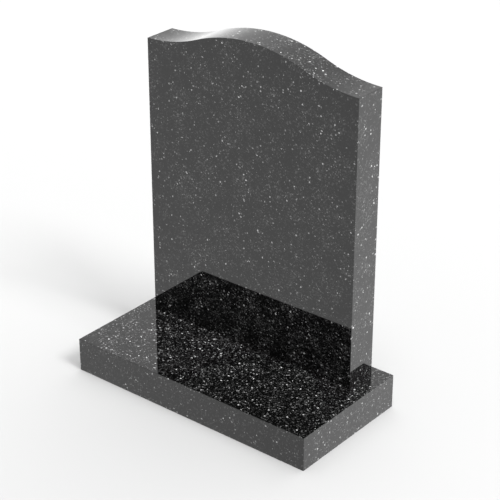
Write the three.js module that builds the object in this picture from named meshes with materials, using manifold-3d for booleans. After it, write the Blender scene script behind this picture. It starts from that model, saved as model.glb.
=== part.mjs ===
// An upright lawn memorial of polished granite: a tablet with an ogee top, standing on its foot on a
// plain rectangular base.
// Millimetres, +Z up. The origin is the middle of the base's underside; the inscription face looks
// along -Y, and X runs along the width.
import * as THREE from "three";
import { mergeVertices } from "three/addons/utils/BufferGeometryUtils.js";
import Module from "manifold-3d";

const INCH = 25.4;

// The base, a sawn block laid flat.
const BASE_WIDTH = 24 * INCH;
const BASE_DEPTH = 12 * INCH;
const BASE_HEIGHT = 3 * INCH;

// The tablet. Its height is to the crown, and the ogee falls from there to the shoulders.
const TABLET_WIDTH = 21 * INCH;
const TABLET_HEIGHT = 27 * INCH;
const TABLET_THICKNESS = 3 * INCH;
const OGEE_RISE = 2 * INCH;
const BACK_LEDGE = 1 * INCH; // of the base, left clear behind the tablet

// The width of the flat eased along each polished stone's edges.
const BASE_ARRIS = 1;
const TABLET_ARRIS = 1;

const BED_JOINT = 0.3; // between the tablet's foot and the base's top
const CHORDS_PER_ARC = 32; // in each of the ogee's four arcs

const wasm = await Module();
wasm.setup();

// A closed geometry as a solid that can be cut.
function solidOf(geometry) {
  const bare = geometry.clone();
  bare.deleteAttribute("normal");
  bare.deleteAttribute("uv");
  const merged = mergeVertices(bare);
  const mesh = new wasm.Mesh({
    numProp: 3,
    vertProperties: merged.attributes.position.array,
    triVerts: Uint32Array.from(merged.index.array),
  });
  return new wasm.Manifold(mesh);
}

// A solid's surface as a geometry.
function geometryOf(solid) {
  const mesh = solid.getMesh();
  const geometry = new THREE.BufferGeometry();
  geometry.setAttribute("position", new THREE.BufferAttribute(mesh.vertProperties, 3));
  geometry.setIndex(new THREE.BufferAttribute(mesh.triVerts, 1));
  geometry.computeVertexNormals();
  return geometry;
}

// Saws off all of a standing stone that reaches below z = 0, which leaves its foot flat, with sharp
// edges.
function sawnFlat(geometry) {
  geometry.computeBoundingBox();
  const size = geometry.boundingBox.getSize(new THREE.Vector3());
  const waste = new THREE.BoxGeometry(2 * size.x, 2 * size.y, 2 * size.z);
  const middle = geometry.boundingBox.getCenter(new THREE.Vector3());
  waste.translate(middle.x, middle.y, -size.z);
  return geometryOf(solidOf(geometry).subtract(solidOf(waste)));
}

// A slab of an outline drawn in X and Y, from z = 0 to its thickness, with the edges of its two
// faces eased.
function easedSlab(outline, thickness, arris) {
  const slab = new THREE.ExtrudeGeometry(outline, {
    depth: thickness - 2 * arris,
    curveSegments: CHORDS_PER_ARC / 2,
    bevelEnabled: true,
    bevelSegments: 1,
    bevelThickness: arris,
    bevelSize: arris,
    bevelOffset: -arris,
  });
  return slab.translate(0, 0, arris);
}

// The base's plan, with its four upright edges eased.
function basePlan() {
  const x = BASE_WIDTH / 2;
  const y = BASE_DEPTH / 2;
  return new THREE.Shape([
    new THREE.Vector2(-x + BASE_ARRIS, -y),
    new THREE.Vector2(x - BASE_ARRIS, -y),
    new THREE.Vector2(x, -y + BASE_ARRIS),
    new THREE.Vector2(x, y - BASE_ARRIS),
    new THREE.Vector2(x - BASE_ARRIS, y),
    new THREE.Vector2(-x + BASE_ARRIS, y),
    new THREE.Vector2(-x, y - BASE_ARRIS),
    new THREE.Vector2(-x, -y + BASE_ARRIS),
  ]);
}

// The base, with its top and upright edges eased and its underside left as sawn.
function baseBlock() {
  const slab = easedSlab(basePlan(), BASE_HEIGHT + BASE_ARRIS, BASE_ARRIS);
  return sawnFlat(slab.translate(0, 0, -BASE_ARRIS));
}

// The tablet's outline seen from the front, over its foot at 0. Each half of the ogee is two equal
// arcs that meet in its middle with one tangent: hollow at the shoulder, round at the crown, and
// level at both ends. The outline runs on below the foot by the width of an arris, for the saw.
function tabletOutline() {
  const x = TABLET_WIDTH / 2;
  const crown = TABLET_HEIGHT;
  const shoulder = TABLET_HEIGHT - OGEE_RISE;
  const arcWidth = x / 2;
  const arcRise = OGEE_RISE / 2;
  const radius = (arcWidth ** 2 + arcRise ** 2) / (2 * arcRise);
  const sweep = 2 * Math.atan2(arcRise, arcWidth);
  const eased = Math.asin(TABLET_ARRIS / radius); // of a hollow's arc, lost to the shoulder's arris
  const up = Math.PI / 2;
  const down = -Math.PI / 2;

  const outline = new THREE.Shape();
  outline.moveTo(-x, -TABLET_ARRIS);
  outline.lineTo(x, -TABLET_ARRIS);
  outline.lineTo(x, shoulder - TABLET_ARRIS);
  outline.absarc(x, shoulder + radius, radius, down - eased, down - sweep, true);
  outline.absarc(0, crown - radius, radius, up - sweep, up, false);
  outline.absarc(0, crown - radius, radius, up, up + sweep, false);
  outline.absarc(-x, shoulder + radius, radius, down + sweep, down + eased, true);
  outline.lineTo(-x, shoulder - TABLET_ARRIS);
  outline.closePath();
  return outline;
}

// The tablet, drawn lying on its back and stood up, with its foot left as sawn. Its back face is at
// y = 0.
function tabletSlab() {
  const slab = easedSlab(tabletOutline(), TABLET_THICKNESS, TABLET_ARRIS);
  return sawnFlat(slab.rotateX(Math.PI / 2));
}

// Both stones are of the same dark granite, polished to a mirror.
function polishedGranite() {
  return new THREE.MeshStandardMaterial({ color: 0x26272a, roughness: 0.06, metalness: 0 });
}

const base = new THREE.Mesh(baseBlock(), polishedGranite());
base.name = "base";

const tablet = new THREE.Mesh(tabletSlab(), polishedGranite());
tablet.name = "tablet";
tablet.position.set(0, BASE_DEPTH / 2 - BACK_LEDGE, BASE_HEIGHT + BED_JOINT);

const headstone = new THREE.Group();
headstone.add(base, tablet);

export default headstone;
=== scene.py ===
import math

import bmesh
import bpy
import numpy as np
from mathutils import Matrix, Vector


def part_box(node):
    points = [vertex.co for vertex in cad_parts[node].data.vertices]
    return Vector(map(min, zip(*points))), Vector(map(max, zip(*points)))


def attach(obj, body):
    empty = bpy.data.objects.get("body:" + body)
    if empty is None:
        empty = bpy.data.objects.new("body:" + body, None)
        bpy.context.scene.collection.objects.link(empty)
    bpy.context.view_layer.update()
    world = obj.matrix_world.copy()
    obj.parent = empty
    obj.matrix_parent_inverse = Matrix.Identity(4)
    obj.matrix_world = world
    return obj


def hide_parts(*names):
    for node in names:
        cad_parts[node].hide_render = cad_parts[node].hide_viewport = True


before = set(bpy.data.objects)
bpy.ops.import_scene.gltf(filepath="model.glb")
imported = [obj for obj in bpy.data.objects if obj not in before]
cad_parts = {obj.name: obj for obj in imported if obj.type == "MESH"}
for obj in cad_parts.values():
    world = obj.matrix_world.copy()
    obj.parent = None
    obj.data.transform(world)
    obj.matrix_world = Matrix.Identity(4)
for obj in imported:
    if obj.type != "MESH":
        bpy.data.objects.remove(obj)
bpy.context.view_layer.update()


# The base is a block of dark granite, sawn to size and laid flat on the ground. Its top and sides
# are polished to a mirror and the edges between them eased with a fine rounded arris; the underside
# is left as it came off the saw. Sizes are in metres.
base_low, base_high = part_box("base")
ARRIS = 0.0005
ARRIS_STEPS = 5
STATION_SPACING = 0.003
COURSE_SPACING = 0.03
SAME_POINT = 1e-6
SHARP_ABOVE = 60  # degrees
LOOKS_DOWN = -0.9
POLISHED, SAWN = 0, 1


def polished_slab(name, low, high, top_of):
    """A closed slab standing on a sawn foot, made from stations across its width.

    At each station the section is an upright rectangle from the foot to top_of(x), with its two
    upper corners rounded to quarter circles of the arris. Over the last arris of the width at each
    end, the section draws in by arris x (1 - cos t) as x advances by arris x sin t, so the end
    faces' edges are rounded as well. A flat grid closes each end. The foot takes the material of
    the sawn stone.
    """
    quarter = np.linspace(0, math.pi / 2, ARRIS_STEPS + 1)
    middle, half = (low.x + high.x) / 2, (high.x - low.x) / 2
    between = np.linspace(ARRIS - half, half - ARRIS, round(2 * half / STATION_SPACING) + 1)
    outward = half - ARRIS + ARRIS * np.sin(quarter[1:])
    x = np.concatenate([-outward[::-1], between, outward]) + middle
    end_draw = ARRIS * (1 - np.cos(quarter[1:]))
    draw = np.concatenate([end_draw[::-1], np.zeros_like(between), end_draw])
    top = top_of(np.clip(x, middle + between[0], middle + between[-1])) - draw
    corner = ARRIS - draw
    front, back = low.y + draw, high.y - draw

    courses = np.linspace(0, 1, round((high.z - low.z) / COURSE_SPACING) + 1)
    across = np.linspace(0, 1, round((high.y - low.y) / COURSE_SPACING) + 1)
    leg_z = low.z + np.outer(top - corner - low.z, courses)
    turn_y = np.outer(corner, 1 - np.cos(quarter[1:]))
    turn_z = (top - corner)[:, None] + np.outer(corner, np.sin(quarter[1:]))
    flat_y = (front + corner)[:, None] + np.outer(back - front - 2 * corner, across[1:-1])
    foot_y = back[:, None] + np.outer(front - back, across[1:-1])
    column = np.ones_like
    y = np.hstack([
        front[:, None] * column(leg_z), front[:, None] + turn_y, flat_y,
        (back[:, None] - turn_y)[:, ::-1], back[:, None] * column(leg_z), foot_y,
    ])
    z = np.hstack([
        leg_z, turn_z, top[:, None] * column(flat_y),
        turn_z[:, ::-1], leg_z[:, ::-1], low.z * column(foot_y),
    ])
    skin = np.stack([np.broadcast_to(x[:, None], y.shape), y, z], axis=-1)

    stations, around = y.shape
    here = np.arange((stations - 1) * around)
    onward = here // around * around + (here + 1) % around
    quads = np.stack([here, here + around, onward + around, onward], axis=1)

    points, faces = [skin.reshape(-1, 3)], [quads]
    rows = len(courses)
    cell = np.arange((len(across) - 1) * rows).reshape(-1, rows)[:, :-1].ravel()
    cap_quads = np.stack([cell, cell + 1, cell + 1 + rows, cell + rows], axis=1)
    for end, flip in ((0, False), (-1, True)):
        end_y = front[end] + corner[end] + (back[end] - front[end] - 2 * corner[end]) * across
        cap = np.stack(np.broadcast_arrays(x[end], end_y[:, None], leg_z[end][None, :]), axis=-1)
        faces.append((cap_quads[:, ::-1] if flip else cap_quads) + sum(map(len, points)))
        points.append(cap.reshape(-1, 3))

    mesh = bpy.data.meshes.new(name)
    mesh.from_pydata(np.concatenate(points).tolist(), [], np.concatenate(faces).tolist())
    weld = bmesh.new()
    weld.from_mesh(mesh)
    bmesh.ops.remove_doubles(weld, verts=weld.verts, dist=SAME_POINT)
    bmesh.ops.recalc_face_normals(weld, faces=weld.faces)
    weld.to_mesh(mesh)
    weld.free()
    mesh.shade_smooth()
    mesh.set_sharp_from_angle(angle=math.radians(SHARP_ABOVE))
    for face in mesh.polygons:
        face.material_index = SAWN if face.normal.z < LOOKS_DOWN else POLISHED
    slab = bpy.data.objects.new(name, mesh)
    bpy.context.collection.objects.link(slab)
    flats = slab.modifiers.new("flat faces stay flat", "WEIGHTED_NORMAL")
    flats.keep_sharp = True
    return slab


# The granite has three sizes of crystal. Each is a pattern of its own, taken from another place in
# the rock. Sizes and reaches are in metres.
FINE_SIZE, COARSE_SIZE, SILVER_SIZE = 0.0017, 0.0028, 0.0062
FINE_PLACE, COARSE_PLACE, SILVER_PLACE = 0.31, 0.17, 0.73
FINE_SHARE = 0.72
BLACK_GROUND = 0.0146
BLACKEST, PALEST = 0.0008, 0.4
SILVER_ABOVE = 0.90
SILVER_RIM, SILVER_HEART = 0.37, 0.27  # from the middle of a cell, in cell widths
SILVER_RARITY = 4.5
SILVER_SHADE = 0.40
WANDER_FINENESS, WANDER_DETAIL, WANDER_REACH = 420, 1, 0.0016
DRIFT_FINENESS, DRIFT_DETAIL = 24, 2
DRIFT_FROM_TO = (0.30, 0.70)
DRIFT_SWING = 0.52
FINEST_POLISH, HARD_ROUGHER, SILVER_ROUGHER = 0.015, 0.010, 0.06


def granite_crystals():
    """The stone's own pattern, as a node group used by both stones.

    Three sizes of crystal, each the cells of a Voronoi pattern through the solid stone. A cell's
    random number r makes its brightness, middle x (r / (1 - r)) ^ spread, and the two finer sizes
    together lose what the black ground between them takes: half of the stone is nearly black, and
    a few crystals in a hundred are pale. One large cell in ten holds a silvery spot, and few of
    those are bright. Slow drifts through the rock gather the pale ones into loose clusters, the
    more so the larger Drift is. It puts out their colour, how rough the polish left them, and the
    slight relief between hard and soft ones.
    """
    group = bpy.data.node_groups.new("granite crystals", "ShaderNodeTree")
    face = group.interface
    face.new_socket("Place", in_out="INPUT", socket_type="NodeSocketVector")
    for label in ("Middle", "Spread", "Drift"):
        face.new_socket(label, in_out="INPUT", socket_type="NodeSocketFloat")
    face.new_socket("Colour", in_out="OUTPUT", socket_type="NodeSocketColor")
    face.new_socket("Roughness", in_out="OUTPUT", socket_type="NodeSocketFloat")
    face.new_socket("Relief", in_out="OUTPUT", socket_type="NodeSocketFloat")
    nodes, links = group.nodes, group.links
    given, made = nodes.new("NodeGroupInput"), nodes.new("NodeGroupOutput")

    def put(kind, *inputs, **settings):
        """A new node with its settings and its first inputs, each a link or a value."""
        node = nodes.new(kind)
        for key, value in settings.items():
            setattr(node, key, value)
        for index, value in enumerate(inputs):
            if isinstance(value, bpy.types.NodeSocket):
                links.new(value, node.inputs[index])
            else:
                node.inputs[index].default_value = value
        return node

    def maths(operation, *inputs):
        """What the operation makes of its inputs."""
        return put("ShaderNodeMath", *inputs, operation=operation).outputs[0]

    def vectors(operation, *inputs):
        """A new node that does the operation on vectors."""
        return put("ShaderNodeVectorMath", *inputs, operation=operation)

    # The crystals' outlines are bent a little, as they grew against each other.
    wander = put("ShaderNodeTexNoise", given.outputs["Place"])
    wander.inputs["Scale"].default_value = WANDER_FINENESS
    wander.inputs["Detail"].default_value = WANDER_DETAIL
    bent = vectors("SCALE", vectors("ADD", wander.outputs["Color"], (-0.5, -0.5, -0.5)).outputs[0])
    bent.inputs["Scale"].default_value = WANDER_REACH
    place = vectors("ADD", given.outputs["Place"], bent.outputs[0]).outputs[0]

    drift = put("ShaderNodeTexNoise", given.outputs["Place"])
    drift.inputs["Scale"].default_value = DRIFT_FINENESS
    drift.inputs["Detail"].default_value = DRIFT_DETAIL
    swing = put(
        "ShaderNodeMapRange", drift.outputs["Fac"], *DRIFT_FROM_TO, -DRIFT_SWING, DRIFT_SWING
    ).outputs[0]
    richness = maths("MULTIPLY_ADD", swing, given.outputs["Drift"], 1.0)
    middle = maths("MULTIPLY", given.outputs["Middle"], richness)

    def crystals(size, taken_from):
        """For each cell, a random number, another, and the distance from its middle."""
        cells = put(
            "ShaderNodeTexVoronoi", vectors("ADD", place, (taken_from,) * 3).outputs[0]
        )
        cells.inputs["Scale"].default_value = 1 / size
        chance = put("ShaderNodeSeparateColor", cells.outputs["Color"])
        return chance.outputs[0], chance.outputs[1], cells.outputs["Distance"]

    def many_shades(chance):
        """middle x (r / (1 - r)) ^ spread, up to a pale grey, r being the cell's chance."""
        odds = maths("DIVIDE", chance, maths("SUBTRACT", 1.0, chance))
        shade = maths("MULTIPLY", maths("POWER", odds, given.outputs["Spread"]), middle)
        return maths("MINIMUM", shade, PALEST)

    fine, _, _ = crystals(FINE_SIZE, FINE_PLACE)
    coarse, hardness, _ = crystals(COARSE_SIZE, COARSE_PLACE)
    shades = maths("MULTIPLY_ADD", many_shades(fine), FINE_SHARE, many_shades(coarse))
    shades = maths("MAXIMUM", maths("SUBTRACT", shades, BLACK_GROUND), BLACKEST)

    rare, shine, reach = crystals(SILVER_SIZE, SILVER_PLACE)
    is_silver = maths("GREATER_THAN", rare, SILVER_ABOVE)
    spot = put("ShaderNodeMapRange", reach, SILVER_RIM, SILVER_HEART, 0.0, 1.0).outputs[0]
    silver_mask = maths("MULTIPLY", is_silver, spot)
    silver = maths("MULTIPLY", silver_mask, maths("POWER", shine, SILVER_RARITY))
    bright = maths("MULTIPLY", maths("MULTIPLY", silver, richness), SILVER_SHADE)

    level = maths("ADD", shades, bright)
    colour = put("ShaderNodeCombineColor", level, level, level)
    links.new(colour.outputs[0], made.inputs["Colour"])
    dull = maths("MULTIPLY_ADD", silver_mask, SILVER_ROUGHER, FINEST_POLISH)
    links.new(maths("MULTIPLY_ADD", hardness, HARD_ROUGHER, dull), made.inputs["Roughness"])
    links.new(hardness, made.inputs["Relief"])
    return group


CRYSTALS = granite_crystals()
STONE_IOR = 1.55


def granite(name, cut_from, middle, painted_light_gradient, spread, drift):
    """A material with the crystals in it.

    cut_from is the place in the rock that the stone was sawn from. middle is the brightness of its
    crystals at the origin. The argument after it is painted light: the share by which that
    brightness grows in each metre along the three axes, brightening the crystals where the
    polished stones would throw light on each other. spread and drift say how unlike each other and
    how clustered they are.
    """
    material = bpy.data.materials.new(name)
    material.use_nodes = True
    nodes, links = material.node_tree.nodes, material.node_tree.links
    where = nodes.new("ShaderNodeTexCoord")
    place = nodes.new("ShaderNodeMapping")
    place.inputs["Location"].default_value = cut_from
    crystals = nodes.new("ShaderNodeGroup")
    crystals.node_tree = CRYSTALS
    crystals.inputs["Spread"].default_value = spread
    crystals.inputs["Drift"].default_value = drift
    relief = nodes.new("ShaderNodeBump")
    links.new(where.outputs["Object"], place.inputs["Vector"])
    links.new(place.outputs["Vector"], crystals.inputs["Place"])
    links.new(relief.outputs["Normal"], nodes["Principled BSDF"].inputs["Normal"])
    # Painted light: the crystals' brightness grows along a set direction through the stone,
    # standing in for light that the polished faces throw on each other.
    along = nodes.new("ShaderNodeVectorMath")
    along.operation = "DOT_PRODUCT"
    along.inputs[1].default_value = painted_light_gradient
    links.new(where.outputs["Object"], along.inputs[0])
    here = nodes.new("ShaderNodeMath")
    here.operation = "MULTIPLY_ADD"
    here.inputs[1].default_value = here.inputs[2].default_value = middle
    links.new(along.outputs["Value"], here.inputs[0])
    links.new(here.outputs[0], crystals.inputs["Middle"])
    nodes["Principled BSDF"].inputs["IOR"].default_value = STONE_IOR
    return material, nodes, links, place, crystals, relief


WEAR_DEPTH = 0.00005
WEAR_SHOWN = 0.02


def polished_granite(name, rock):
    """Granite polished to a mirror, the softer crystals worn a hair lower than the hard ones."""
    material, nodes, links, _, crystals, relief = granite(name, **rock)
    shader = nodes["Principled BSDF"]
    links.new(crystals.outputs["Colour"], shader.inputs["Base Color"])
    links.new(crystals.outputs["Roughness"], shader.inputs["Roughness"])
    links.new(crystals.outputs["Relief"], relief.inputs["Height"])
    relief.inputs["Strength"].default_value = WEAR_SHOWN
    relief.inputs["Distance"].default_value = WEAR_DEPTH
    return material


STONE_DUST = (0.13, 0.13, 0.13, 1)
DUST_SHARE = 0.55
SAWN_ROUGHNESS = 0.6
BLADE_FINENESS = 90
BLADE_WANDER = 1.5
BLADE_DETAIL = 3
SCORE_DEPTH = 0.0002
SCORE_SHOWN = 0.6


def sawn_granite(name, rock):
    """The same granite as the saw left it: dull, paler, and scored across by the blade."""
    material, nodes, links, place, crystals, relief = granite(name, **rock)
    shader = nodes["Principled BSDF"]
    dust = nodes.new("ShaderNodeMix")
    dust.data_type = "RGBA"
    dust.inputs["Factor"].default_value = DUST_SHARE
    dust.inputs["B"].default_value = STONE_DUST
    links.new(crystals.outputs["Colour"], dust.inputs["A"])
    links.new(dust.outputs["Result"], shader.inputs["Base Color"])
    shader.inputs["Roughness"].default_value = SAWN_ROUGHNESS
    blade = nodes.new("ShaderNodeTexWave")
    blade.bands_direction = "X"
    blade.inputs["Scale"].default_value = BLADE_FINENESS
    blade.inputs["Distortion"].default_value = BLADE_WANDER
    blade.inputs["Detail"].default_value = BLADE_DETAIL
    links.new(place.outputs["Vector"], blade.inputs["Vector"])
    links.new(blade.outputs["Fac"], relief.inputs["Height"])
    relief.inputs["Strength"].default_value = SCORE_SHOWN
    relief.inputs["Distance"].default_value = SCORE_DEPTH
    return material


# Painted light: the base's crystals brighten towards the back, where the tablet stands, and a
# little towards the left. This stands in for light that the polished tablet throws down on the
# ledge.
BASE_ROCK = dict(
    cut_from=(0.6, 0.2, 0.1), middle=0.0067, painted_light_gradient=(-0.3, 1.25, 0.0), spread=0.66, drift=0.5
)
base_block = polished_slab(
    "base_block", base_low, base_high, lambda x: np.full_like(x, base_high.z)
)
base_block.data.materials.append(polished_granite("base granite", BASE_ROCK))
base_block.data.materials.append(sawn_granite("base granite as sawn", BASE_ROCK))
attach(base_block, "root")
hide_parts("base")


# The tablet is one slab of the same granite stood on its edge, all of it polished but the foot. Its
# top is sawn to an ogee: two hollows that rise from the shoulders and turn over into a round crown.
# It stands on the base, towards the back, on a thin bed.
tablet_low, tablet_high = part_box("tablet")
OGEE_RISE = 0.0508


def ogee(x):
    """The height of the tablet's top at x.

    Each half is two equal arcs that meet with one tangent a quarter of the width from the middle:
    round from the crown, hollow to the shoulder, and level at both ends.
    """
    half = (tablet_high.x - tablet_low.x) / 2
    arc_width, arc_rise = half / 2, OGEE_RISE / 2
    radius = (arc_width**2 + arc_rise**2) / (2 * arc_rise)
    out = np.abs(x)
    fall = radius - np.sqrt(radius**2 - np.minimum(out, arc_width) ** 2)
    lift = radius - np.sqrt(radius**2 - np.minimum(half - out, arc_width) ** 2)
    return np.where(out < arc_width, tablet_high.z - fall, tablet_high.z - OGEE_RISE + lift)


# Painted light: the tablet's crystals brighten a little towards its foot. This stands in for light
# that the polished base throws up on it.
TABLET_ROCK = dict(
    cut_from=(1.7, 0.9, 2.3), middle=0.0075, painted_light_gradient=(0.0, 0.0, -0.15), spread=0.60, drift=1.0
)
ogee_tablet = polished_slab("ogee_tablet", tablet_low, tablet_high, ogee)
ogee_tablet.data.materials.append(polished_granite("tablet granite", TABLET_ROCK))
ogee_tablet.data.materials.append(sawn_granite("tablet granite as sawn", TABLET_ROCK))
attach(ogee_tablet, "root")
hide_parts("tablet")


# The camera stands to the right of the front and looks down on the stone through a long lens. Its
# place is in metres and its two angles in degrees.
VIEW_FROM = (1.8940, -2.2696, 1.8349)
VIEW_TURN = 39.158
VIEW_DOWN = 26.997
FOCAL_PIXELS = 1625.2
PICTURE_PIXELS = 500
SENSOR = 36.0

camera_data = bpy.data.cameras.new("camera")
camera_data.sensor_width = SENSOR
camera_data.lens = SENSOR * FOCAL_PIXELS / PICTURE_PIXELS
camera = bpy.data.objects.new("camera", camera_data)
camera.location = VIEW_FROM
camera.rotation_euler = (math.radians(90 - VIEW_DOWN), 0, math.radians(VIEW_TURN))
bpy.context.collection.objects.link(camera)
bpy.context.scene.camera = camera
bpy.context.scene.view_settings.view_transform = "Standard"


# The floor is a plain pale sweep that runs out of sight. Its colour is a touch paler behind the
# stone
# than in front of it: painted shade, standing in for the lamps' light falling off towards the
# front.
# The polished stone mirrors the white studio round it in the floor's place.
FLOOR_HALF = 30.0
FLOOR_GREY_WITH_PAINTED_FALLOFF = (0.306, 0.326)
PAINTED_FALLOFF_FROM_TO = (-1.0, 1.5)

floor_mesh = bpy.data.meshes.new("floor")
floor_mesh.from_pydata(
    [(-FLOOR_HALF, -FLOOR_HALF, 0), (FLOOR_HALF, -FLOOR_HALF, 0),
     (FLOOR_HALF, FLOOR_HALF, 0), (-FLOOR_HALF, FLOOR_HALF, 0)],
    [], [(0, 1, 2, 3)],
)
floor = bpy.data.objects.new("floor", floor_mesh)
bpy.context.collection.objects.link(floor)
floor.visible_glossy = False
paint = bpy.data.materials.new("floor paint")
paint.use_nodes = True
nodes, links = paint.node_tree.nodes, paint.node_tree.links
where = nodes.new("ShaderNodeTexCoord")
split = nodes.new("ShaderNodeSeparateXYZ")
links.new(where.outputs["Object"], split.inputs[0])
# Painted shade: the floor's colour runs darker towards the front, as the lamps' light falling off
# would make it.
shade = nodes.new("ShaderNodeMapRange")
links.new(split.outputs["Y"], shade.inputs["Value"])
for label, value in zip(("From Min", "From Max"), PAINTED_FALLOFF_FROM_TO):
    shade.inputs[label].default_value = value
for label, value in zip(("To Min", "To Max"), FLOOR_GREY_WITH_PAINTED_FALLOFF):
    shade.inputs[label].default_value = value
links.new(shade.outputs["Result"], nodes["Principled BSDF"].inputs["Base Color"])
nodes["Principled BSDF"].inputs["Roughness"].default_value = 1.0
nodes["Principled BSDF"].inputs["Specular IOR Level"].default_value = 0.0
floor_mesh.materials.append(paint)


# The studio is white behind the stone and down to the ground all round, brightest low down behind
# it, and dim high up in front. A soft lamp stands to the right, a very wide one hangs high behind
# the stone and a small one high in front of it, and a weak one stands low behind.
SKY_BEHIND = 0.95
SKY_IN_FRONT = 0.18
FRONT_TO_BACK = (-0.5, 0.3)
LOW_MIDDLE = 1.345
LOW_BACK_GAIN = 0.29
LOW_TO_SKY = (-0.10, 0.28)
LOWEST = 0.73
LOWEST_TO_LOW = (-0.64, -0.46)
SKY_FOR_SHADING = 0.55

world = bpy.data.worlds.new("white studio")
bpy.context.scene.world = world
world.use_nodes = True
nodes, links = world.node_tree.nodes, world.node_tree.links
background = nodes["Background"]
background.inputs["Color"].default_value = (1, 1, 1, 1)
direction = nodes.new("ShaderNodeTexCoord")
split = nodes.new("ShaderNodeSeparateXYZ")
links.new(direction.outputs["Generated"], split.inputs[0])


def from_to(source, low, high, at_low, at_high):
    """A smooth step from at_low to at_high as the source runs from low to high."""
    step = nodes.new("ShaderNodeMapRange")
    step.interpolation_type = "SMOOTHSTEP"
    links.new(source, step.inputs["Value"])
    labels = ("From Min", "From Max", "To Min", "To Max")
    for label, value in zip(labels, (low, high, at_low, at_high)):
        step.inputs[label].default_value = value
    return step.outputs["Result"]


low = nodes.new("ShaderNodeMath")
low.operation = "MULTIPLY_ADD"
links.new(split.outputs["Y"], low.inputs[0])
low.inputs[1].default_value = LOW_BACK_GAIN
low.inputs[2].default_value = LOW_MIDDLE
lowest = nodes.new("ShaderNodeMath")
lowest.operation = "MULTIPLY"
links.new(low.outputs[0], lowest.inputs[0])
links.new(from_to(split.outputs["Z"], *LOWEST_TO_LOW, LOWEST, 1.0), lowest.inputs[1])
mixed = nodes.new("ShaderNodeMix")
links.new(from_to(split.outputs["Z"], *LOW_TO_SKY, 0.0, 1.0), mixed.inputs["Factor"])
links.new(lowest.outputs[0], mixed.inputs["A"])
sky = from_to(split.outputs["Y"], *FRONT_TO_BACK, SKY_IN_FRONT, SKY_BEHIND)
links.new(sky, mixed.inputs["B"])
rays = nodes.new("ShaderNodeLightPath")
chosen = nodes.new("ShaderNodeMix")
links.new(rays.outputs["Is Diffuse Ray"], chosen.inputs["Factor"])
links.new(mixed.outputs["Result"], chosen.inputs["A"])
chosen.inputs["B"].default_value = SKY_FOR_SHADING
links.new(chosen.outputs["Result"], background.inputs["Strength"])


def far_lamp(name, round_from_x, above, across, light):
    """A soft lamp so far off that its light is even; its place and its width are in degrees."""
    lamp_data = bpy.data.lights.new(name, "SUN")
    lamp_data.energy = math.pi * light
    lamp_data.angle = math.radians(across)
    lamp = bpy.data.objects.new(name, lamp_data)
    lamp.rotation_euler = (math.radians(90 - above), 0, math.radians(90 + round_from_x))
    lamp.visible_glossy = False
    bpy.context.collection.objects.link(lamp)


far_lamp("lamp at the right", round_from_x=-6, above=48, across=21, light=1.30)
far_lamp("lamp high behind", round_from_x=104, above=72, across=71, light=1.08)
far_lamp("lamp high in front", round_from_x=-52, above=73, across=24, light=0.54)
far_lamp("lamp low behind", round_from_x=89, above=11, across=53, light=0.39)
